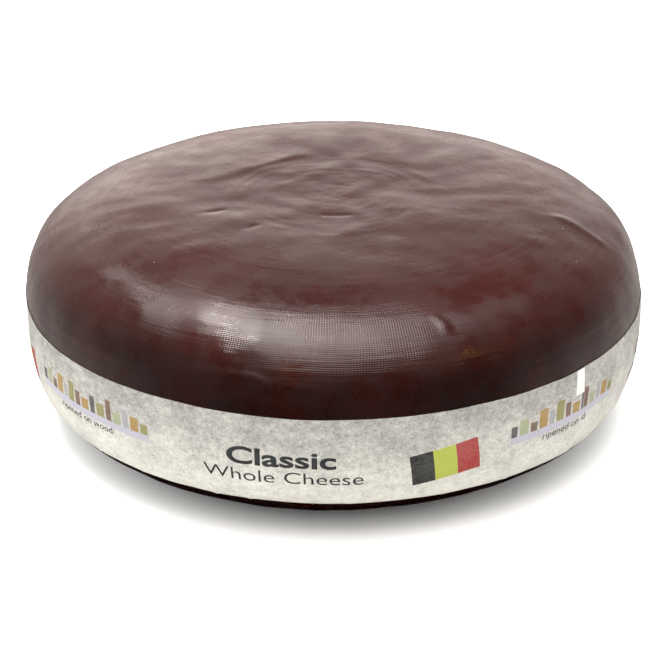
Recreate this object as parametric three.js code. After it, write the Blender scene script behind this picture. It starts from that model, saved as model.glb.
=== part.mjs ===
// A whole wheel of hard cheese in a dark plastic coating, with a printed paper band stuck round its side.
// Millimetres, +Z up. The origin is the middle of the foot, where the wheel rests. The band's print faces -Y.
import * as THREE from "three";

// The wheel
const WHEEL_DIAMETER = 350;
const WHEEL_HEIGHT = 122;
const WAIST_HEIGHT = 61; // where the side bulges furthest
const FOOT_DIAMETER = 217; // the flat that the wheel's weight has pressed
const CROWN_DIAMETER = 122; // the flat in the middle of the top
const SIDE_FULLNESS = 6; // 2 is an ellipse, and more carries the faces further out
const FACE_FULLNESS = 3; // 2 is an ellipse, and more keeps the side upright for longer

// The paper band
const BAND_LOW_EDGE = 24; // above the foot
const BAND_HEIGHT = 51;
const BAND_THICKNESS = 0.4;
const BAND_CLEARANCE = 0.3; // between the paper and what is under it
const BAND_LAP = 15; // how far the outer end lies over the inner one
const BAND_RISE = 46; // the length over which the outer end climbs onto the inner one
const SEAM_FROM_FRONT = 46.5; // degrees from -Y towards +X, to the end that lies on top

// Fineness of the facets
const FACETS_ROUND = 72;
const FACETS_UP = 12; // from the waist to each face
const BAND_ROWS = 10;

const COATING = new THREE.MeshStandardMaterial({ color: 0x4a1d17, roughness: 0.35, metalness: 0 });
const PAPER = new THREE.MeshStandardMaterial({ color: 0xcfcfc9, roughness: 0.8, metalness: 0 });

const wheelRadius = WHEEL_DIAMETER / 2;
const facetAngle = (2 * Math.PI) / FACETS_ROUND;
const lapAngle = BAND_LAP / wheelRadius;
// The strip's start is at +X in its plan. Both pieces turn by this, so that their facets stay parallel.
const seamTurn = THREE.MathUtils.degToRad(SEAM_FROM_FRONT - 90) - lapAngle;

// The half of the wheel above or below the waist: its height, and the radius of the flat that ends it.
function halfAt(isUpper) {
  return isUpper
    ? { height: WHEEL_HEIGHT - WAIST_HEIGHT, flat: CROWN_DIAMETER / 2 }
    : { height: WAIST_HEIGHT, flat: FOOT_DIAMETER / 2 };
}

// The wheel's radius at a height above the foot: a superellipse that reaches each face at the rim of its flat.
function radiusAt(z) {
  const half = halfAt(z > WAIST_HEIGHT);
  const share = Math.min(1, Math.abs(z - WAIST_HEIGHT) / half.height);
  const drop = 1 - (half.flat / wheelRadius) ** SIDE_FULLNESS;
  return wheelRadius * (1 - drop * share ** FACE_FULLNESS) ** (1 / SIDE_FULLNESS);
}

// How far out a facet lies at an angle, as a share of the radius at its corners.
function facetShare(angle) {
  const fromMiddle = THREE.MathUtils.euclideanModulo(angle, facetAngle) - facetAngle / 2;
  return Math.cos(facetAngle / 2) / Math.cos(fromMiddle);
}

// Half of the outline, from the foot's middle, round the side, to the crown's middle.
function wheelOutline() {
  const points = [new THREE.Vector2(0, 0)];
  for (let i = -FACETS_UP; i <= FACETS_UP; i++) {
    const share = Math.sin((Math.PI / 2) * (i / FACETS_UP));
    const z = WAIST_HEIGHT + share * halfAt(i > 0).height;
    points.push(new THREE.Vector2(radiusAt(z), z));
  }
  points.push(new THREE.Vector2(0, WHEEL_HEIGHT));
  return points;
}

function cheeseWheel() {
  const geometry = new THREE.LatheGeometry(wheelOutline(), FACETS_ROUND);
  geometry.rotateX(Math.PI / 2); // the lathe turns about Y, and the wheel about Z
  const mesh = new THREE.Mesh(geometry, COATING);
  mesh.name = "cheese_wheel";
  mesh.rotation.z = seamTurn;
  return mesh;
}

// The band seen from above, at the waist: one strip that goes once round and laps over its own start.
// Its corners stand at the same angles as the wheel's, so that the facets of the two stay parallel.
function bandPlan() {
  const lastAngle = 2 * Math.PI + lapAngle;
  const angles = Array.from({ length: Math.ceil(lastAngle / facetAngle) }, (_, i) => i * facetAngle);
  angles.push(lastAngle);
  const riseAngle = BAND_RISE / wheelRadius;
  const inner = [];
  const outer = [];
  for (const angle of angles) {
    const climb = THREE.MathUtils.smoothstep(angle, 2 * Math.PI - riseAngle, 2 * Math.PI - facetAngle);
    const lift = climb * (BAND_THICKNESS + BAND_CLEARANCE);
    const toInside = (wheelRadius + BAND_CLEARANCE + lift) * facetShare(angle);
    const toOutside = (wheelRadius + BAND_CLEARANCE + lift + BAND_THICKNESS) * facetShare(angle);
    inner.push(new THREE.Vector2(toInside * Math.cos(angle), toInside * Math.sin(angle)));
    outer.push(new THREE.Vector2(toOutside * Math.cos(angle), toOutside * Math.sin(angle)));
  }
  return new THREE.Shape([...outer, ...inner.reverse()]);
}

// The plan is drawn up to the band's height, and each corner then moves in to follow the bulge of the side.
function labelBand() {
  const geometry = new THREE.ExtrudeGeometry(bandPlan(), {
    depth: BAND_HEIGHT,
    steps: BAND_ROWS,
    bevelEnabled: false,
  });
  geometry.translate(0, 0, BAND_LOW_EDGE);
  const corners = geometry.getAttribute("position");
  const corner = new THREE.Vector3();
  for (let i = 0; i < corners.count; i++) {
    corner.fromBufferAttribute(corners, i);
    const atWaist = Math.hypot(corner.x, corner.y) / facetShare(Math.atan2(corner.y, corner.x));
    const share = (atWaist - wheelRadius + radiusAt(corner.z)) / atWaist;
    corners.setXYZ(i, corner.x * share, corner.y * share, corner.z);
  }
  const mesh = new THREE.Mesh(geometry, PAPER);
  mesh.name = "label_band";
  mesh.rotation.z = seamTurn;
  return mesh;
}

const part = new THREE.Group();
part.add(cheeseWheel(), labelBand());

export default part;
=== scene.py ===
"""A whole wheel of hard cheese: a dark brushed-on coating over a bulging round, with a printed paper band
stuck round its side. Metres, +Z up, the middle of the foot at the origin, and the band's front facing -Y."""

import math

import bpy
from bpy.props import FloatProperty, FloatVectorProperty, IntProperty, PointerProperty, StringProperty
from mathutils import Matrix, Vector, noise
from mathutils.bvhtree import BVHTree


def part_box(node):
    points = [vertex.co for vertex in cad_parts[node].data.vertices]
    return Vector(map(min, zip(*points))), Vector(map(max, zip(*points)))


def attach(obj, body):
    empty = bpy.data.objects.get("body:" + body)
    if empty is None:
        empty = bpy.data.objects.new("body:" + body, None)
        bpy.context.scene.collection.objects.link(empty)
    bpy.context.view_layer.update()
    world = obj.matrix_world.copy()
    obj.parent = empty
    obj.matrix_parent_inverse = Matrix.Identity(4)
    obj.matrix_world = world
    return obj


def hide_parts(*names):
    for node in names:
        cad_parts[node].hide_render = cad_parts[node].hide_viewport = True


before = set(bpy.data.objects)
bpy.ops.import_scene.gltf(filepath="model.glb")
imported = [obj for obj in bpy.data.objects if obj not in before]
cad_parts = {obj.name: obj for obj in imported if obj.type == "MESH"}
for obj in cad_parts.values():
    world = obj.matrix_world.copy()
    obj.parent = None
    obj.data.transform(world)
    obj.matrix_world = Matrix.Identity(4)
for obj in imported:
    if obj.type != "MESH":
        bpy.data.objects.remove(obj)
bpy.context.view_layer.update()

bl_info = {
    "name": "Cheese Wheel",
    "version": (1, 0, 0),
    "blender": (4, 5, 0),
    "location": "3D View > Sidebar > Cheese Wheel",
    "description": "Makes a coated wheel of hard cheese with a printed paper band round its side",
    "category": "Add Mesh",
}

MM = 0.001

WHEEL_LOW, WHEEL_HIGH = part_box("cheese_wheel")
BAND_LOW, BAND_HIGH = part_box("label_band")
WHEEL_RADIUS = WHEEL_HIGH.y
WHEEL_HEIGHT = WHEEL_HIGH.z


def hex_colour(code):
    """An sRGB hex value as a linear colour."""
    channels = [int(code[i : i + 2], 16) / 255 for i in (1, 3, 5)]
    return [c / 12.92 if c <= 0.04045 else ((c + 0.055) / 1.055) ** 2.4 for c in channels]


def colour_property(name, description, code):
    return FloatVectorProperty(
        name=name, description=description, subtype="COLOR", size=3, min=0, max=1, default=hex_colour(code)
    )


def length_property(name, description, metres):
    return FloatProperty(name=name, description=description, unit="LENGTH", precision=5, default=metres)


class WheelSettings(bpy.types.PropertyGroup):
    """The coated round."""

    radius: length_property("Radius", "From the axis to the waist", WHEEL_RADIUS)
    height: length_property("Height", "From the foot to the crown", WHEEL_HEIGHT)
    foot_radius: length_property("Foot radius", "The flat that the weight has pressed", 108.5 * MM)
    crown_radius: length_property("Crown radius", "The flat in the middle of the top", 61 * MM)
    side_fullness: FloatProperty(
        name="Side fullness", description="More carries the faces further out", default=6
    )
    face_fullness: FloatProperty(name="Face fullness", description="More keeps the side upright", default=3)
    columns: IntProperty(name="Columns", description="Corners of the first circle", default=112)
    rings: IntProperty(name="Rings", description="Rings from the waist to each face", default=14)
    swell: length_property("Swell", "How far the slow waves of the rind stand out", 1.6 * MM)
    hollows: length_property("Hollows", "How deep the small hollows of the rind are", 0.5 * MM)
    brush_marks: length_property("Brush marks", "How high the ridges left by the brush are", 0.07 * MM)
    coating: colour_property("Coating", "Where the coating is thick", "#170402")
    # This colour also paints light: the crown is blended towards it, so the top is painted lighter and
    # redder.
    thin_coat_and_crown_light: colour_property("Thin coating", "Where the rind shows through", "#300A05")


class BandSettings(bpy.types.PropertyGroup):
    """The paper band."""

    low_edge: length_property("Low edge", "Height of the lower edge over the foot", BAND_LOW.z)
    height: length_property("Height", "Width of the paper", BAND_HIGH.z - BAND_LOW.z)
    thickness: length_property("Thickness", "Of the paper", 0.16 * MM)
    stand_off: length_property("Stand-off", "The glue between the paper and the rind", 0.12 * MM)
    lap: length_property("Lap", "How far the outer end lies over the inner one", 15 * MM)
    seam: FloatProperty(
        name="Seam",
        description="Where the outer end is, from -Y towards +X",
        subtype="ANGLE",
        default=math.radians(46.5),
    )
    paper: colour_property("Paper", "Where the print leaves it bare", "#BDBBB3")
    # This grey also paints shade: the band's top is blended towards it.
    stone_grey_and_painted_shade: colour_property("Stone grey", "The darkest of the printed ground", "#767571")


class PrintSettings(bpy.types.PropertyGroup):
    """What is printed on the band, in wheel angles and heights over the foot."""

    repeats: IntProperty(name="Repeats", description="Times that the design goes round", default=4)
    pitch: length_property("Pitch", "From one design to the next along the paper", 277.3 * MM)
    bold_words: StringProperty(name="Bold line", description="The heavy line", default="Classic")
    light_words: StringProperty(
        name="Light line", description="The thin line under it", default="Whole Cheese"
    )
    small_words: StringProperty(
        name="Small line", description="Under the row of blocks", default="ripened on wood"
    )
    ink: colour_property("Ink", "Of the words", "#1A1E22")
    panel_dark: colour_property("Panel, first", "The panel's first third", "#0A0B0D")
    panel_yellow: colour_property("Panel, second", "The panel's middle third", "#8E961B")
    panel_red: colour_property("Panel, third", "The panel's last third", "#880C0B")


class StageSettings(bpy.types.PropertyGroup):
    """The floor, the lights and the camera."""

    floor_size: length_property("Floor size", "Across the square floor", 12.0)
    lens: FloatProperty(name="Lens", description="Focal length in mm on a 36 mm sensor", default=85.85)
    camera_place: FloatVectorProperty(
        name="Camera", description="Where it stands", unit="LENGTH", default=(0, -0.8136, 0.4397)
    )
    camera_aim: FloatVectorProperty(
        name="Aim", description="What it looks at", unit="LENGTH", default=(-0.0046, 0, 0.0392)
    )
    camera_roll: FloatProperty(
        name="Roll", description="Of the camera", subtype="ANGLE", default=math.radians(-0.17)
    )


# Small tools


def make_active(piece):
    """Leaves only this piece selected, in object mode."""
    bpy.ops.object.select_all(action="DESELECT")
    piece.select_set(True)
    bpy.context.view_layer.objects.active = piece


def named(name):
    """The piece that was just added, with its name."""
    piece = bpy.context.object
    piece.name = name
    piece.data.name = name
    return piece


def edit(piece):
    make_active(piece)
    bpy.ops.object.mode_set(mode="EDIT")


def leave_edit():
    bpy.ops.object.mode_set(mode="OBJECT")


def apply_modifier(piece, kind, **settings):
    """Adds a modifier to a piece and applies it."""
    modifier = piece.modifiers.new(kind.title(), kind)
    for key, value in settings.items():
        setattr(modifier, key, value)
    make_active(piece)
    bpy.ops.object.modifier_apply(modifier=modifier.name)


def settle(piece):
    """Puts a piece's place into its mesh, so that its object stands at the origin, unturned and unscaled."""
    make_active(piece)
    bpy.ops.object.transform_apply(location=True, rotation=True, scale=True)


def join(pieces, name):
    """Joins pieces into one."""
    bpy.ops.object.select_all(action="DESELECT")
    for piece in pieces:
        piece.select_set(True)
    bpy.context.view_layer.objects.active = pieces[0]
    if len(pieces) > 1:
        bpy.ops.object.join()
    return named(name)


def shade_smooth(piece, degrees=40):
    make_active(piece)
    bpy.ops.object.shade_smooth_by_angle(angle=math.radians(degrees))


def finish_piece(piece, material, replaced=None):
    """Gives a finished piece its material and its place in the frame."""
    if material:
        piece.data.materials.clear()
        piece.data.materials.append(material)
    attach(piece, "root")
    if replaced:
        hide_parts(replaced)


# Materials


def add_node(tree, kind, inputs=None, **settings):
    """Adds a node with its settings. An input is set to a value, or linked if an output socket is given."""
    added = tree.nodes.new("ShaderNode" + kind)
    for key, value in settings.items():
        setattr(added, key, value)
    for key, value in (inputs or {}).items():
        socket = added.inputs[key]
        if isinstance(value, bpy.types.NodeSocket):
            tree.links.new(value, socket)
        elif socket.type == "RGBA":
            socket.default_value = (*value, 1)[:4]
        else:
            socket.default_value = value
    return added


def new_material(name):
    """An empty node material and its tree."""
    material = bpy.data.materials.new(name)
    material.use_nodes = True
    material.node_tree.nodes.clear()
    return material, material.node_tree


def end_material(tree, shader):
    add_node(tree, "OutputMaterial", {"Surface": shader.outputs[0]})


def calc(tree, operation, *values, clamp=False):
    """The result of a Math node."""
    return add_node(tree, "Math", dict(enumerate(values)), operation=operation, use_clamp=clamp).outputs[0]


def vector_calc(tree, operation, *values, output=0):
    return add_node(tree, "VectorMath", dict(enumerate(values)), operation=operation).outputs[output]


def remap(tree, value, low, high, to_low=0.0, to_high=1.0, smooth=True):
    """A value's range moved to another range, with soft or straight ends."""
    inputs = {"Value": value, "From Min": low, "From Max": high, "To Min": to_low, "To Max": to_high}
    kind = "SMOOTHSTEP" if smooth else "LINEAR"
    return add_node(tree, "MapRange", inputs, interpolation_type=kind).outputs["Result"]


def blend_colour(tree, factor, first, second):
    mix = add_node(tree, "Mix", data_type="RGBA")
    for index, value in ((0, factor), (6, first), (7, second)):
        if isinstance(value, bpy.types.NodeSocket):
            tree.links.new(value, mix.inputs[index])
        elif index == 0:
            mix.inputs[index].default_value = value
        else:
            mix.inputs[index].default_value = (*value, 1)[:4]
    return mix.outputs[2]


def blend_number(tree, factor, first, second):
    mix = add_node(tree, "Mix", data_type="FLOAT")
    for index, value in ((0, factor), (2, first), (3, second)):
        if isinstance(value, bpy.types.NodeSocket):
            tree.links.new(value, mix.inputs[index])
        else:
            mix.inputs[index].default_value = value
    return mix.outputs[0]


def noise_at(tree, vector, size, detail=2.0, roughness=0.5):
    """Noise from 0 to 1 whose blotches are about as wide as size, in metres."""
    inputs = {"Vector": vector, "Scale": 0.5 / size, "Detail": detail, "Roughness": roughness}
    return add_node(tree, "TexNoise", inputs, noise_dimensions="3D").outputs["Fac"]


def coating_material(settings):
    """Plastic cheese coating, brushed on by hand over the cloth-marked rind. It is a dark mahogany film that
    is redder where it is thin, and glossy, so that highlights break up over the cloth's print and the brush's
    lines. Its crown is painted lighter and redder than its side, as painted light for the brighter top."""
    material, tree = new_material("brushed plastic cheese coating")
    place = add_node(tree, "TexCoord").outputs["Object"]
    axes = add_node(tree, "SeparateXYZ", {0: place}).outputs
    flat = add_node(tree, "CombineXYZ", {0: axes[0], 1: axes[1]}).outputs[0]
    radius = vector_calc(tree, "LENGTH", flat, output=1)
    around = vector_calc(tree, "NORMALIZE", flat)
    over_waist = calc(tree, "ABSOLUTE", calc(tree, "SUBTRACT", axes[2], settings.height / 2))
    across = calc(tree, "SUBTRACT", over_waist, radius)  # falls from the crown to the waist
    on_top = remap(tree, radius, 148 * MM, 118 * MM)

    # Places for patterns that run round the wheel. The smaller the number, the longer they are drawn out.
    def run(along):
        ring = vector_calc(tree, "SCALE", around)
        ring.node.inputs["Scale"].default_value = settings.radius * along
        rise = add_node(tree, "CombineXYZ", {2: across}).outputs[0]
        return vector_calc(tree, "ADD", ring, rise)

    # The brush: long thin ridges
    coarse_lines = noise_at(tree, run(0.06), 2.6 * MM, 3, 0.6)
    fine_lines = noise_at(tree, run(0.03), 0.9 * MM, 2, 0.6)
    # The cloth's print: two sets of threads, which run round and up the side, and straight over the top
    thread = 1.45 * MM
    threads_round = round(2 * math.pi * settings.radius / thread)
    angle = calc(tree, "ARCTAN2", axes[0], calc(tree, "MULTIPLY", axes[1], -1))
    wander = calc(tree, "MULTIPLY", noise_at(tree, place, 9 * MM, 1), 9.0)
    up_threads = calc(tree, "SINE", calc(tree, "ADD", calc(tree, "MULTIPLY", angle, threads_round), wander))
    round_threads = calc(
        tree, "SINE", calc(tree, "ADD", calc(tree, "MULTIPLY", across, 2 * math.pi / thread), wander)
    )
    x_threads = calc(tree, "SINE", calc(tree, "MULTIPLY", axes[0], 2 * math.pi / thread))
    y_threads = calc(tree, "SINE", calc(tree, "MULTIPLY", axes[1], 2 * math.pi / thread))
    side_cloth = calc(tree, "MAXIMUM", up_threads, round_threads)
    top_cloth = calc(tree, "MAXIMUM", x_threads, y_threads)
    cloth = blend_number(tree, on_top, side_cloth, top_cloth)
    patches = remap(tree, noise_at(tree, place, 34 * MM, 2), 0.32, 0.55)
    patches = calc(tree, "MULTIPLY", patches, blend_number(tree, on_top, 1.0, 0.25))
    cloth_height = calc(tree, "MULTIPLY", cloth, calc(tree, "MULTIPLY", patches, 0.042))
    # Small pocks and crumbs under the film
    pocks = noise_at(tree, place, 3.2 * MM, 3, 0.55)
    pock_height = calc(tree, "MULTIPLY", pocks, 0.10)
    brushed = remap(tree, radius, 60 * MM, 150 * MM, 0.1, 1.0)
    line_height = calc(tree, "MULTIPLY", coarse_lines, calc(tree, "MULTIPLY", brushed, 0.29))
    fine_height = calc(tree, "MULTIPLY", fine_lines, calc(tree, "MULTIPLY", brushed, 0.05))
    rind_height = calc(tree, "ADD", cloth_height, pock_height)
    height = calc(tree, "ADD", rind_height, calc(tree, "ADD", line_height, fine_height))
    bump = add_node(tree, "Bump", {"Strength": 1.0, "Distance": MM, "Height": height}).outputs[0]

    # Colour
    slow = noise_at(tree, place, 26 * MM, 3, 0.6)
    streaks = calc(tree, "MULTIPLY", coarse_lines, calc(tree, "MULTIPLY", brushed, 0.3))
    streaked = calc(tree, "ADD", slow, streaks)
    patchy = remap(tree, streaked, 0.40, 0.85)
    # Painted light: above the shoulder the crown is blended towards the thin coating's colour, so the top is
    # painted lighter and redder for the brighter light it gets. The patches below are where the coating
    # really is thin.
    crown_painted_light = remap(tree, axes[2], settings.height * 0.72, settings.height * 0.88, 0.0, 0.65)
    thin = calc(tree, "ADD", crown_painted_light, calc(tree, "MULTIPLY", patchy, 0.35))
    colour = blend_colour(tree, thin, settings.coating, settings.thin_coat_and_crown_light)
    speck = add_node(tree, "TexVoronoi", {"Vector": place, "Scale": 1 / (17 * MM)}, feature="F1").outputs
    dust = remap(tree, speck["Distance"], 0.022, 0.012)
    colour = blend_colour(tree, calc(tree, "MULTIPLY", dust, 0.7), colour, hex_colour("#C9B3A4"))

    rough = remap(tree, noise_at(tree, place, 9 * MM, 4, 0.6), 0.35, 0.65, 0.22, 0.38)
    shader = add_node(
        tree,
        "BsdfPrincipled",
        {
            "Base Color": colour,
            "Roughness": rough,
            "IOR": 1.48,
            "Coat Weight": 0.5,
            "Coat Roughness": 0.09,
            "Coat IOR": 1.48,
            "Normal": bump,
            "Coat Normal": bump,
        },
    )
    end_material(tree, shader)
    return material


def paper_pattern(tree):
    """The stone-like ground that is printed on the band, from 0 for grey to 1 for bare paper. It reads the
    paper's own flat map, in metres, so that the ink over it takes the same pattern."""
    flat = add_node(tree, "UVMap", uv_map="paper").outputs[0]
    clouds = noise_at(tree, flat, 8 * MM, 3, 0.6)
    blots = noise_at(tree, flat, 1.7 * MM, 4, 0.7)
    grit = noise_at(tree, flat, 0.6 * MM, 2, 0.6)
    total = calc(tree, "MULTIPLY_ADD", clouds, 0.6, calc(tree, "MULTIPLY", blots, 0.8))
    total = calc(tree, "MULTIPLY_ADD", grit, 0.6, total)
    return flat, remap(tree, total, 0.70, 1.35, smooth=False)


def paper_material(settings):
    """Satin label paper, printed all over with a mottled stone grey. It has soft clouds, hard small blots and
    almost no shine. It is painted greyer towards its top and lighter towards its lower edge, as painted shade
    and light."""
    material, tree = new_material("printed satin label paper")
    flat, bare = paper_pattern(tree)
    axes = add_node(tree, "SeparateXYZ", {0: flat}).outputs
    # Painted shade and light: the ground is painted greyer towards the band's top edge and lighter towards
    # its lower edge, standing in for how the light falls on the band.
    low = remap(tree, axes[1], settings.low_edge + settings.height, settings.low_edge)
    bare = calc(tree, "ADD", bare, calc(tree, "MULTIPLY_ADD", low, 0.62, -0.26), clamp=True)
    colour = blend_colour(tree, bare, settings.stone_grey_and_painted_shade, settings.paper)
    drawn_out = add_node(tree, "Mapping", {0: flat, 3: (1.0, 0.22, 1.0)}).outputs[0]
    crease = noise_at(tree, drawn_out, 1.6 * MM, 3, 0.6)
    height = calc(tree, "MULTIPLY", crease, 0.05)
    bump = add_node(tree, "Bump", {"Strength": 1.0, "Distance": MM, "Height": height}).outputs[0]
    shader = add_node(
        tree, "BsdfPrincipled", {"Base Color": colour, "Roughness": 0.5, "IOR": 1.45, "Normal": bump}
    )
    end_material(tree, shader)
    return material


def ink_material(name, colour, wear=0.12):
    """Printer's ink on the label paper. It is thin, so the ground's pattern shows through it."""
    material, tree = new_material(name)
    bare = paper_pattern(tree)[1]
    light = blend_colour(tree, 0.5, colour, hex_colour("#B2B0A7"))
    shade = blend_colour(tree, calc(tree, "MULTIPLY", bare, wear), colour, light)
    shader = add_node(tree, "BsdfPrincipled", {"Base Color": shade, "Roughness": 0.5, "IOR": 1.45})
    end_material(tree, shader)
    return material


def bare_paper_material():
    """The label paper with nothing printed on it."""
    material, tree = new_material("bare label paper")
    white = hex_colour("#C4C3BD")
    shader = add_node(tree, "BsdfPrincipled", {"Base Color": white, "Roughness": 0.5, "IOR": 1.45})
    end_material(tree, shader)
    return material


# The wheel


def outline_radius(settings, height):
    """The wheel's radius at a height: a superellipse that reaches each face at the rim of its flat."""
    half = settings.height / 2
    share = min(1, abs(height - half) / half)
    flat = settings.crown_radius if height > half else settings.foot_radius
    drop = 1 - (flat / settings.radius) ** settings.side_fullness
    return settings.radius * (1 - drop * share**settings.face_fullness) ** (1 / settings.side_fullness)


# Small scars of the skin: two ends, how far it stands out, and half its width, in mm. Those above have their
# ends in mm across the crown, and those beside in degrees from the front and in mm up.
SCARS_ABOVE = [
    ((49.8, -141.3), (53.4, -144.2), 0.85, 1.7),
    ((53.4, -144.2), (54.8, -147.2), 0.7, 1.4),
    ((-73, 21), (-20, 64), 0.5, 4.5),
    ((124, -28), (143, -47), 0.8, 2.6),
    ((-44, -50), (-42, -49), -0.6, 2.4),
    ((-64, -28), (-62, -27), -0.6, 2.4),
    ((-4, -31), (9, -31), -0.35, 2.0),
]
SCARS_BESIDE = [
    ((-22.7, 92.8), (-12.5, 93.7), 0.45, 1.3),
    ((-12.5, 93.7), (-11.3, 90.9), 0.45, 1.3),
    ((-11.3, 90.9), (-3.6, 90.5), 0.45, 1.3),
]


def scar_height(place, scars):
    """How far the scars raise one place of a flat chart, in mm."""
    total = 0
    for start, end, height, width in scars:
        start, end = Vector(start), Vector(end)
        run = end - start
        share = min(1, max(0, (place - start).dot(run) / run.length_squared))
        apart = (place - start - share * run).length
        if apart < 3 * width:
            total += height * math.exp(-((apart / width) ** 2))
    return total


def scars_at(place, settings):
    """How far the scars raise the skin at a place in mm."""
    if place.z > 0.8 * settings.height / MM:
        return scar_height(place.xy, SCARS_ABOVE)
    step = math.radians(1) * settings.radius / MM
    degrees = math.degrees(math.atan2(place.x, -place.y))
    scars = [((a[0] * step, a[1]), (b[0] * step, b[1]), h, w) for a, b, h, w in SCARS_BESIDE]
    return scar_height(Vector((degrees * step, place.z)), scars)


# How long and how wide the brush's ridges are, and how far up the foot is left alone, in mm
RIDGE_LENGTH = 70
RIDGE_WIDTH = 4.5
BARE_FOOT = 3


def brush_over(piece, settings):
    """Moves the skin out and in by the ridges that the brush left, which run round the wheel, and by the
    scars. The directions are read before any vertex moves."""
    along = 1 / RIDGE_LENGTH
    across = 1 / RIDGE_WIDTH
    outward = [vertex.normal.copy() for vertex in piece.data.vertices]
    for vertex, normal in zip(piece.data.vertices, outward):
        place = vertex.co / MM
        if place.z < BARE_FOOT:
            continue
        flat = Vector((place.x, place.y, 0))
        run = flat.normalized() * (settings.radius / MM * along)
        run.z = (abs(place.z - settings.height / MM / 2) - flat.length) * across
        vertex.co += normal * (noise.noise(run) * settings.brush_marks + scars_at(place, settings) * MM)


class CHEESE_OT_wheel(bpy.types.Operator):
    """Make the coated round, ring by ring from its foot to its crown"""

    bl_idname = "cheese.wheel"
    bl_label = "Coated Wheel"

    def execute(self, context):
        settings = context.scene.cheese_wheel
        bpy.ops.object.select_all(action="DESELECT")
        bpy.ops.mesh.primitive_circle_add(vertices=settings.columns, radius=settings.foot_radius)
        wheel = named("coated_wheel")
        edit(wheel)
        bpy.ops.mesh.select_mode(type="EDGE")
        bpy.ops.mesh.select_all(action="SELECT")
        bpy.ops.mesh.fill_grid(span=settings.columns // 4)
        self.select_ring(wheel, settings.foot_radius)
        half = settings.height / 2
        at_height, at_radius = 0, settings.foot_radius
        for i in range(1 - settings.rings, settings.rings + 1):
            height = half * (1 + math.sin(math.pi / 2 * i / settings.rings))
            radius = outline_radius(settings, height)
            rise = {"value": (0, 0, height - at_height)}
            bpy.ops.mesh.extrude_region_move(TRANSFORM_OT_translate=rise)
            spread = radius / at_radius
            bpy.ops.transform.resize(value=(spread, spread, 1), center_override=(0, 0, height))
            at_height, at_radius = height, radius
        bpy.ops.mesh.fill_grid(span=settings.columns // 4)
        bpy.ops.mesh.select_all(action="SELECT")
        bpy.ops.mesh.remove_doubles(threshold=0.01 * MM)
        bpy.ops.mesh.normals_make_consistent(inside=False)
        leave_edit()
        apply_modifier(wheel, "SUBSURF", levels=2, render_levels=2)
        self.keep_foot_flat(wheel)
        self.make_uneven(wheel, "slow waves", 110 * MM, settings.swell)
        self.make_uneven(wheel, "small hollows", 24 * MM, settings.hollows)
        brush_over(wheel, settings)
        for vertex in wheel.data.vertices:
            vertex.co.z = max(0, vertex.co.z)
        shade_smooth(wheel)
        finish_piece(wheel, coating_material(settings), "cheese_wheel")
        return {"FINISHED"}

    def select_ring(self, wheel, radius):
        """Selects the edges of one ring."""
        bpy.ops.mesh.select_all(action="DESELECT")
        leave_edit()
        mesh = wheel.data
        for edge in mesh.edges:
            ends = [mesh.vertices[i].co for i in edge.vertices]
            edge.select = all(abs(math.hypot(e.x, e.y) - radius) < 0.1 * MM for e in ends)
        bpy.ops.object.mode_set(mode="EDIT")

    def keep_foot_flat(self, wheel):
        """A group that holds the whole skin but the foot, and comes in softly above it."""
        group = wheel.vertex_groups.new(name="off_foot")
        for vertex in wheel.data.vertices:
            weight = min(1, max(0, (vertex.co.z - 1 * MM) / (12 * MM)))
            group.add([vertex.index], weight, "REPLACE")

    def make_uneven(self, wheel, name, size, strength):
        texture = bpy.data.textures.new(name, "CLOUDS")
        texture.noise_scale = size
        texture.noise_depth = 1
        apply_modifier(
            wheel,
            "DISPLACE",
            texture=texture,
            strength=strength * 2,
            mid_level=0.5,
            vertex_group="off_foot",
        )


# The band and its print. Each piece is made flat, with X along the paper from its inner end and Y up from
# the foot's height, and is then wound round the wheel.

PLEATS = [-152, -133, -118, -97, -84, -66, -46, -35, -20, -14, 3, 19, 31, 66, 81, 99, 117, 128, 149, 171]


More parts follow.
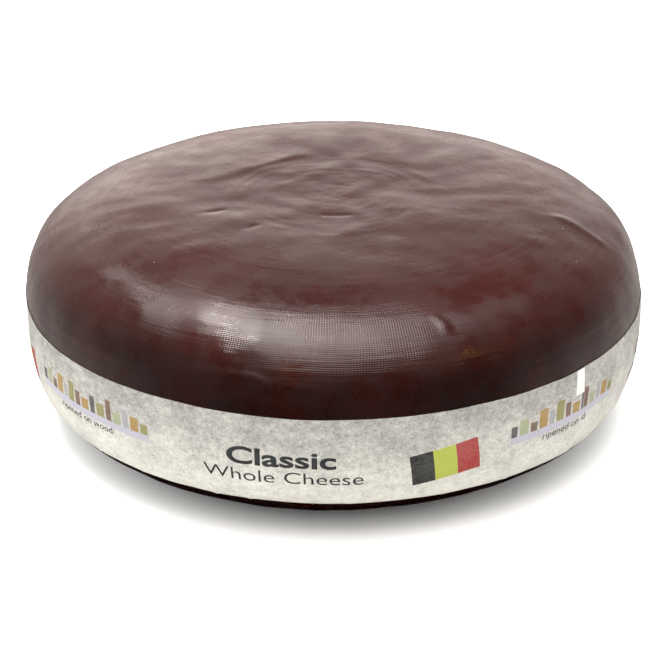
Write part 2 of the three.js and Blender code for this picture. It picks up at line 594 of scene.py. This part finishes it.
class Winding:
    """How flat paper goes round the wheel."""

    def __init__(self, scene):
        self.band = scene.cheese_band
        self.wheel = scene.cheese_wheel
        self.length = 2 * math.pi * self.wheel.radius + self.band.lap
        self.start = self.band.seam - self.band.lap / self.wheel.radius
        skin = bpy.data.objects["coated_wheel"]
        self.skin = BVHTree.FromObject(skin, bpy.context.evaluated_depsgraph_get())

    def along(self, degrees):
        """How far along the paper an angle of the wheel is, on the layer that shows."""
        run = (math.radians(degrees) - self.start) % (2 * math.pi) * self.wheel.radius
        return run + 2 * math.pi * self.wheel.radius if run < self.band.lap else run

    def pleat(self, run, height):
        """How far the paper stands off in the small pleats at its lower edge."""
        degrees = math.degrees(self.start + run / self.wheel.radius)
        above = (height - self.band.low_edge) / (9 * MM)
        if above > 1:
            return 0
        total = 0
        for i, pleat in enumerate(PLEATS):
            apart = ((degrees - pleat + 180) % 360 - 180) * math.pi / 180 * self.wheel.radius
            width = (1.3 + 0.5 * math.sin(7 * i)) * MM
            total += (0.55 + 0.25 * math.sin(5 * i)) * MM * math.exp(-((apart / width) ** 2))
        return total * (1 - above) ** 2

    def lift(self, run, height):
        """How far the paper's inner face stands off the wheel."""
        climb = min(1, max(0, (run - self.length + self.band.lap + 10 * MM) / (8 * MM)))
        over_start = climb * climb * (3 - 2 * climb) * (self.band.thickness + 0.08 * MM)
        place = Vector((run / (38 * MM), height / (26 * MM), 0))
        loose = 0.10 * MM * (1 + noise.noise(place))
        return self.band.stand_off + over_start + loose + self.pleat(run, height)

    def wind(self, piece, extra=0.0):
        """Winds a flat piece round the wheel, its flat place kept as the map named paper."""
        mesh = piece.data
        while mesh.uv_layers:
            mesh.uv_layers.remove(mesh.uv_layers[0])
        flat_map = mesh.uv_layers.new(name="paper")
        for loop in mesh.loops:
            place = mesh.vertices[loop.vertex_index].co
            flat_map.data[loop.index].uv = (place.x, place.y)
        for vertex in mesh.vertices:
            run, height = vertex.co.x, vertex.co.y
            angle = self.start + run / self.wheel.radius
            outward = Vector((math.sin(angle), -math.cos(angle), 0))
            origin = outward * (2 * self.wheel.radius) + Vector((0, 0, height))
            skin = self.skin.ray_cast(origin, -outward)[0]
            if skin is None:
                raise RuntimeError(f"{piece.name} leaves the wheel's side at height {height}")
            distance = math.hypot(skin.x, skin.y) + self.lift(run, height) + extra
            vertex.co = outward * distance + Vector((0, 0, height))


def flat_sheet(name, low, high, columns, rows):
    """A flat grid between two corners."""
    bpy.ops.object.select_all(action="DESELECT")
    middle = ((low[0] + high[0]) / 2, (low[1] + high[1]) / 2, 0)
    bpy.ops.mesh.primitive_grid_add(x_subdivisions=columns, y_subdivisions=rows, size=1, location=middle)
    sheet = named(name)
    sheet.scale = (high[0] - low[0], high[1] - low[1], 1)
    settle(sheet)
    return sheet


def cut_to_cells(piece, cell):
    """Cuts a flat piece by lines each way, so that it can bend. The corners are copied, because edit mode
    builds the mesh anew."""
    corners = [v.co.copy() for v in piece.data.vertices]
    for axis in (0, 1):
        low = min(c[axis] for c in corners)
        high = max(c[axis] for c in corners)
        normal = (1, 0, 0) if axis == 0 else (0, 1, 0)
        edit(piece)
        for i in range(1, math.ceil((high - low) / cell)):
            bpy.ops.mesh.select_all(action="SELECT")
            place = [0, 0, 0]
            place[axis] = low + i * cell
            bpy.ops.mesh.bisect(plane_co=place, plane_no=normal)
        leave_edit()


def ink_layer(piece, winding, thickness=0.03 * MM):
    """Winds a flat print round, just over the paper, and gives it the thickness of ink."""
    winding.wind(piece, winding.band.thickness + 0.02 * MM)
    apply_modifier(piece, "SOLIDIFY", thickness=thickness, offset=1)


def trim(piece, low, high):
    """Cuts off what a flat piece has before one place along the paper and past another."""
    edit(piece)
    for run, way in ((low, -1), (high, 1)):
        bpy.ops.mesh.select_all(action="SELECT")
        bpy.ops.mesh.bisect(plane_co=(run, 0, 0), plane_no=(way, 0, 0), clear_outer=True)
    leave_edit()


def copies_round(piece, winding, name):
    """Copies a flat print to each place of the design along the paper, as one piece. The first is the last
    design before the paper's outer end, and what runs past either end is cut off."""
    settings = bpy.context.scene.cheese_print
    pieces = [piece]
    for i in range(1, settings.repeats + 1):
        copy = piece.copy()
        copy.data = piece.data.copy()
        bpy.context.collection.objects.link(copy)
        for vertex in copy.data.vertices:
            vertex.co.x -= i * settings.pitch
        pieces.append(copy)
    joined = join(pieces, name)
    trim(joined, 0.2 * MM, winding.length - 0.2 * MM)
    return joined


class CHEESE_OT_band(bpy.types.Operator):
    """Wind the paper band round the wheel, its outer end lapped over its inner one"""

    bl_idname = "cheese.band"
    bl_label = "Paper Band"

    def execute(self, context):
        winding = Winding(context.scene)
        settings = context.scene.cheese_band
        top = settings.low_edge + settings.height
        band = flat_sheet("paper_band", (0, settings.low_edge), (winding.length, top), 560, 28)
        for vertex in band.data.vertices:
            run = vertex.co.x
            vertex.co.y += 0.25 * MM * noise.noise(Vector((run / (60 * MM), 3.7, 0)))
        winding.wind(band)
        apply_modifier(band, "SOLIDIFY", thickness=settings.thickness, offset=1)
        shade_smooth(band)
        finish_piece(band, paper_material(settings), "label_band")
        self.add_margin(winding, top)
        return {"FINISHED"}

    def add_margin(self, winding, top):
        """The outer end has a bare margin over the row of blocks."""
        end = winding.length
        low = (end - 6.5 * MM, top - 14 * MM)
        high = (end - 0.2 * MM, top - 0.2 * MM)
        margin = flat_sheet("bare_margin", low, high, 4, 8)
        ink_layer(margin, winding)
        finish_piece(margin, bare_paper_material())


def text_piece(name, words, width, cap_height, weight, middle):
    """One flat line of plain letters, made to a width and a height."""
    bpy.ops.object.select_all(action="DESELECT")
    bpy.ops.object.text_add(location=(0, 0, 0))
    line = named(name)
    line.data.body = words
    line.data.offset = weight
    line.data.resolution_u = 6
    make_active(line)
    bpy.ops.object.convert(target="MESH")
    line = named(name)
    corners = [v.co for v in line.data.vertices]
    low = [min(c[a] for c in corners) for a in (0, 1)]
    high = [max(c[a] for c in corners) for a in (0, 1)]
    capital = [c.y for c in corners if c.x < low[0] + 0.3]
    tall = max(capital) - min(capital)
    for vertex in line.data.vertices:
        x = (vertex.co.x - (low[0] + high[0]) / 2) * width / (high[0] - low[0])
        y = (vertex.co.y - min(capital)) * cap_height / tall
        vertex.co = (middle[0] + x, middle[1] + y, 0)
    return line


class CHEESE_OT_words(bpy.types.Operator):
    """Print the plain words on the band"""

    bl_idname = "cheese.words"
    bl_label = "Printed Words"

    def execute(self, context):
        winding = Winding(context.scene)
        settings = context.scene.cheese_print
        ink = ink_material("black printing ink", settings.ink, 0.15)
        # Each line's name and words, its width and the height of its capitals in mm, its weight, and the
        # angle of its middle and the height of its foot
        lines = [
            ("bold_words", settings.bold_words, 54, 9.6, 0.024, -8.3, 47.9),
            ("light_words", settings.light_words, 80, 7.0, -0.004, -8.2, 38.0),
            ("small_words", settings.small_words, 43, 2.6, 0.0, 44.0, 43.6),
        ]
        for name, words, width, cap_height, weight, turn, foot in lines:
            middle = (winding.along(turn), foot * MM)
            line = text_piece(name, words, width * MM, cap_height * MM, weight, middle)
            cut_to_cells(line, 2 * MM)
            line = copies_round(line, winding, name)
            ink_layer(line, winding)
            finish_piece(line, ink)
        return {"FINISHED"}


class CHEESE_OT_panel(bpy.types.Operator):
    """Print the panel of three plain colours, a little turned"""

    bl_idname = "cheese.panel"
    bl_label = "Three-Colour Panel"

    def execute(self, context):
        winding = Winding(context.scene)
        settings = context.scene.cheese_print
        width, height, lean = 35.7 * MM, 18.4 * MM, math.radians(8.4)
        middle = Vector((winding.along(18.4), 45.9 * MM, 0))
        colours = (
            ("dark", settings.panel_dark),
            ("yellow", settings.panel_yellow),
            ("red", settings.panel_red),
        )
        for i, (name, colour) in enumerate(colours):
            low = (i / 3 - 0.5) * width
            corner = (low + width / 3, height / 2)
            third = flat_sheet("panel_" + name, (low, -height / 2), corner, 7, 10)
            for vertex in third.data.vertices:
                x, y = vertex.co.x, vertex.co.y
                vertex.co.x = middle.x + x * math.cos(lean) - y * math.sin(lean)
                vertex.co.y = middle.y + x * math.sin(lean) + y * math.cos(lean)
            third = copies_round(third, winding, "panel_" + name)
            ink_layer(third, winding)
            finish_piece(third, ink_material(name + " printing ink", colour, 0.35))
        return {"FINISHED"}


# The row of plain blocks: each one's colour, and its width and height in mm, from the left
ROW_COLOURS = {
    "lilac": "#93929F",
    "ochre": "#86682C",
    "olive": "#726E3C",
    "brown": "#5C4133",
    "slate": "#3C3A41",
    "pale_green": "#7F8566",
    "grey": "#7E7F82",
}
ROW_BLOCKS = [
    ("slate", 3.6, 6.0),
    ("pale_green", 5.4, 8.6),
    ("brown", 4.2, 5.2),
    ("ochre", 5.6, 10.4),
    ("grey", 3.4, 7.4),
    ("olive", 5.2, 11.4),
    ("brown", 3.8, 8.2),
    ("ochre", 5.4, 6.2),
    ("slate", 3.4, 9.8),
    ("olive", 5.8, 7.6),
    ("brown", 3.6, 11.8),
    ("pale_green", 5.2, 6.6),
    ("grey", 3.8, 10.2),
    ("ochre", 5.0, 8.0),
    ("olive", 4.2, 5.4),
]
ROW_GAP = 1.5 * MM
ROW_FOOT = 51.3 * MM
STRIP_HEIGHT = 3.9 * MM


class CHEESE_OT_row(bpy.types.Operator):
    """Print the row of plain upright blocks that stand on a pale strip"""

    bl_idname = "cheese.row"
    bl_label = "Row of Blocks"

    def execute(self, context):
        winding = Winding(context.scene)
        start = winding.along(30.1)
        place = start
        by_colour = {}
        for colour, width, height in ROW_BLOCKS:
            corner = (place + width * MM, ROW_FOOT + height * MM)
            columns, rows = math.ceil(width / 2), math.ceil(height / 3)
            block = flat_sheet("block", (place, ROW_FOOT), corner, columns, rows)
            by_colour.setdefault(colour, []).append(block)
            place += width * MM + ROW_GAP
        columns = math.ceil((place - start) / (2 * MM))
        corner = (place - ROW_GAP, ROW_FOOT)
        strip = flat_sheet("strip", (start, ROW_FOOT - STRIP_HEIGHT), corner, columns, 2)
        by_colour["lilac"] = [strip]
        for colour, blocks in by_colour.items():
            blocks = copies_round(join(blocks, "row_" + colour), winding, "row_" + colour)
            ink_layer(blocks, winding)
            ink_name = colour.replace("_", " ") + " printing ink"
            ink = ink_material(ink_name, hex_colour(ROW_COLOURS[colour]), 0.4)
            finish_piece(blocks, ink)
        return {"FINISHED"}


class CHEESE_OT_stage(bpy.types.Operator):
    """Lay the pale floor, and set the lights and the camera"""

    bl_idname = "cheese.stage"
    bl_label = "Stage"

    def execute(self, context):
        settings = context.scene.cheese_stage
        bpy.ops.object.select_all(action="DESELECT")
        bpy.ops.mesh.primitive_plane_add(size=settings.floor_size)
        floor = named("floor")
        floor.data.materials.append(self.floor_material())
        floor.visible_glossy = False
        self.surround(context.scene)
        self.lights()
        self.camera(context.scene, settings)
        return {"FINISHED"}

    def floor_material(self):
        """Matt white board."""
        material, tree = new_material("matt white board")
        shader = add_node(tree, "BsdfDiffuse", {"Color": hex_colour("#F7F7F5")})
        end_material(tree, shader)
        return material

    def surround(self, scene):
        """A white studio, bright behind and at the sides, and dark in front. The camera sees plain white."""
        world = bpy.data.worlds.new("white studio")
        scene.world = world
        world.use_nodes = True
        tree = world.node_tree
        tree.nodes.clear()
        way = add_node(tree, "SeparateXYZ", {0: add_node(tree, "TexCoord").outputs["Generated"]}).outputs
        behind = remap(tree, way[1], -0.75, 0.1)
        far_behind = remap(tree, way[1], 0.1, 0.8)
        left = remap(tree, way[0], 0.5, -0.5)
        # What the gloss sees: a wall behind that is brightest low down, and the floor behind under it
        low_wall = remap(tree, way[2], 0.42, 0.28)
        aside = remap(tree, calc(tree, "ABSOLUTE", way[0], 0), 0.25, 0.6)
        back_wall = blend_number(tree, aside, blend_number(tree, low_wall, 0.38, 1.3), 0.42)
        back_wall = calc(tree, "MULTIPLY", back_wall, blend_number(tree, left, 0.85, 1.2))
        beside = blend_number(tree, left, 0.07, 0.16)
        mirror_side = blend_number(tree, far_behind, blend_number(tree, behind, 0.02, beside), back_wall)
        high = remap(tree, way[2], 0.42, 0.75)
        above_floor = remap(tree, way[2], -0.03, 0.03)
        far_floor = calc(tree, "MULTIPLY", remap(tree, way[2], -0.64, -0.5), 0.55)
        beneath = blend_number(tree, behind, 0.0, far_floor)
        mirrored = blend_number(tree, above_floor, beneath, blend_number(tree, high, mirror_side, 0.09))
        # What lights the matt side of things
        overhead = remap(tree, way[2], 0.35, 0.8)
        open_side = remap(tree, way[1], -0.95, -0.3)
        lit_side = blend_number(tree, open_side, 0.08, blend_number(tree, left, 3.0, 4.6))
        lit_side = calc(tree, "MULTIPLY", lit_side, remap(tree, way[2], 0.0, 0.35, 0.25, 1.0))
        lit = blend_number(tree, overhead, lit_side, 1.6)
        path = add_node(tree, "LightPath").outputs
        strength = blend_number(tree, path["Is Glossy Ray"], lit, mirrored)
        strength = blend_number(tree, path["Is Camera Ray"], strength, 1.0)
        colour = blend_colour(tree, path["Is Glossy Ray"], hex_colour("#FFFFFF"), hex_colour("#FFF1EA"))
        light = add_node(tree, "Background", {"Color": colour, "Strength": strength})
        add_node(tree, "OutputWorld", {"Surface": light.outputs[0]})

    def area_light(self, name, place, aim, size, radiance, colour=(1, 1, 1)):
        """A flat light that faces its aim. Its radiance is what a mirror of it would show."""
        data = bpy.data.lights.new(name, "AREA")
        data.shape = "RECTANGLE"
        data.size, data.size_y = size
        data.energy = radiance * math.pi * size[0] * size[1]
        data.color = colour
        light = bpy.data.objects.new(name, data)
        light.location = place
        light.rotation_euler = (Vector(aim) - Vector(place)).to_track_quat("-Z", "Y").to_euler()
        bpy.context.collection.objects.link(light)

    def lights(self):
        warm_white = (1.0, 0.95, 0.93)
        self.area_light("ceiling_panel", (0.0, -0.45, 2.2), (0, -0.45, 0), (1.5, 2.4), 4.2, warm_white)
        # Two small warm lamps, seen only as glints on the brushed film
        amber = (1.0, 0.5, 0.16)
        lamp_distance = 2.2
        for name, turn, rise in (("warm_lamp_left", -15, 40), ("warm_lamp_right", 52, 34)):
            turn, rise = math.radians(turn), math.radians(rise)
            level = math.cos(rise)
            way = Vector((math.sin(turn) * level, -math.cos(turn) * level, math.sin(rise)))
            self.area_light(name, tuple(lamp_distance * way), (0, 0, 0.06), (0.12, 0.05), 30, amber)
        pale_straw = (1.0, 0.96, 0.92)
        self.area_light("left_strip", (-0.74, 0.35, 2.1), (-0.74, 0.35, 0), (0.3, 1.4), 19, pale_straw)

    def camera(self, scene, settings):
        data = bpy.data.cameras.new("camera")
        data.lens = settings.lens
        data.sensor_width = 36
        camera = bpy.data.objects.new("camera", data)
        camera.location = settings.camera_place
        view = Vector(settings.camera_aim) - Vector(settings.camera_place)
        turn = view.to_track_quat("-Z", "Y").to_euler()
        camera.rotation_euler = turn
        camera.rotation_euler.rotate_axis("Z", settings.camera_roll)
        scene.collection.objects.link(camera)
        scene.camera = camera
        scene.view_settings.view_transform = "Standard"


class CHEESE_PT_panel(bpy.types.Panel):
    """Lists the makers of each piece"""

    bl_label = "Cheese Wheel"
    bl_idname = "CHEESE_PT_panel"
    bl_space_type = "VIEW_3D"
    bl_region_type = "UI"
    bl_category = "Cheese Wheel"

    def draw(self, context):
        groups = (
            (context.scene.cheese_wheel, [CHEESE_OT_wheel]),
            (context.scene.cheese_band, [CHEESE_OT_band]),
            (context.scene.cheese_print, [CHEESE_OT_words, CHEESE_OT_panel, CHEESE_OT_row]),
            (context.scene.cheese_stage, [CHEESE_OT_stage]),
        )
        for settings, makers in groups:
            box = self.layout.box()
            for key in settings.__annotations__:
                box.prop(settings, key)
            for maker in makers:
                box.operator(maker.bl_idname)


SETTINGS = {
    "cheese_wheel": WheelSettings,
    "cheese_band": BandSettings,
    "cheese_print": PrintSettings,
    "cheese_stage": StageSettings,
}
OPERATORS = [
    CHEESE_OT_wheel,
    CHEESE_OT_band,
    CHEESE_OT_words,
    CHEESE_OT_panel,
    CHEESE_OT_row,
    CHEESE_OT_stage,
]


def register():
    for group in SETTINGS.values():
        bpy.utils.register_class(group)
    for name, group in SETTINGS.items():
        setattr(bpy.types.Scene, name, PointerProperty(type=group))
    for operator in OPERATORS:
        bpy.utils.register_class(operator)
    bpy.utils.register_class(CHEESE_PT_panel)


def unregister():
    bpy.utils.unregister_class(CHEESE_PT_panel)
    for operator in reversed(OPERATORS):
        bpy.utils.unregister_class(operator)
    for name, group in SETTINGS.items():
        delattr(bpy.types.Scene, name)
        bpy.utils.unregister_class(group)


def main():
    register()
    bpy.ops.cheese.wheel()
    bpy.ops.cheese.band()
    bpy.ops.cheese.words()
    bpy.ops.cheese.panel()
    bpy.ops.cheese.row()
    bpy.ops.cheese.stage()


if __name__ == "__main__":
    main()
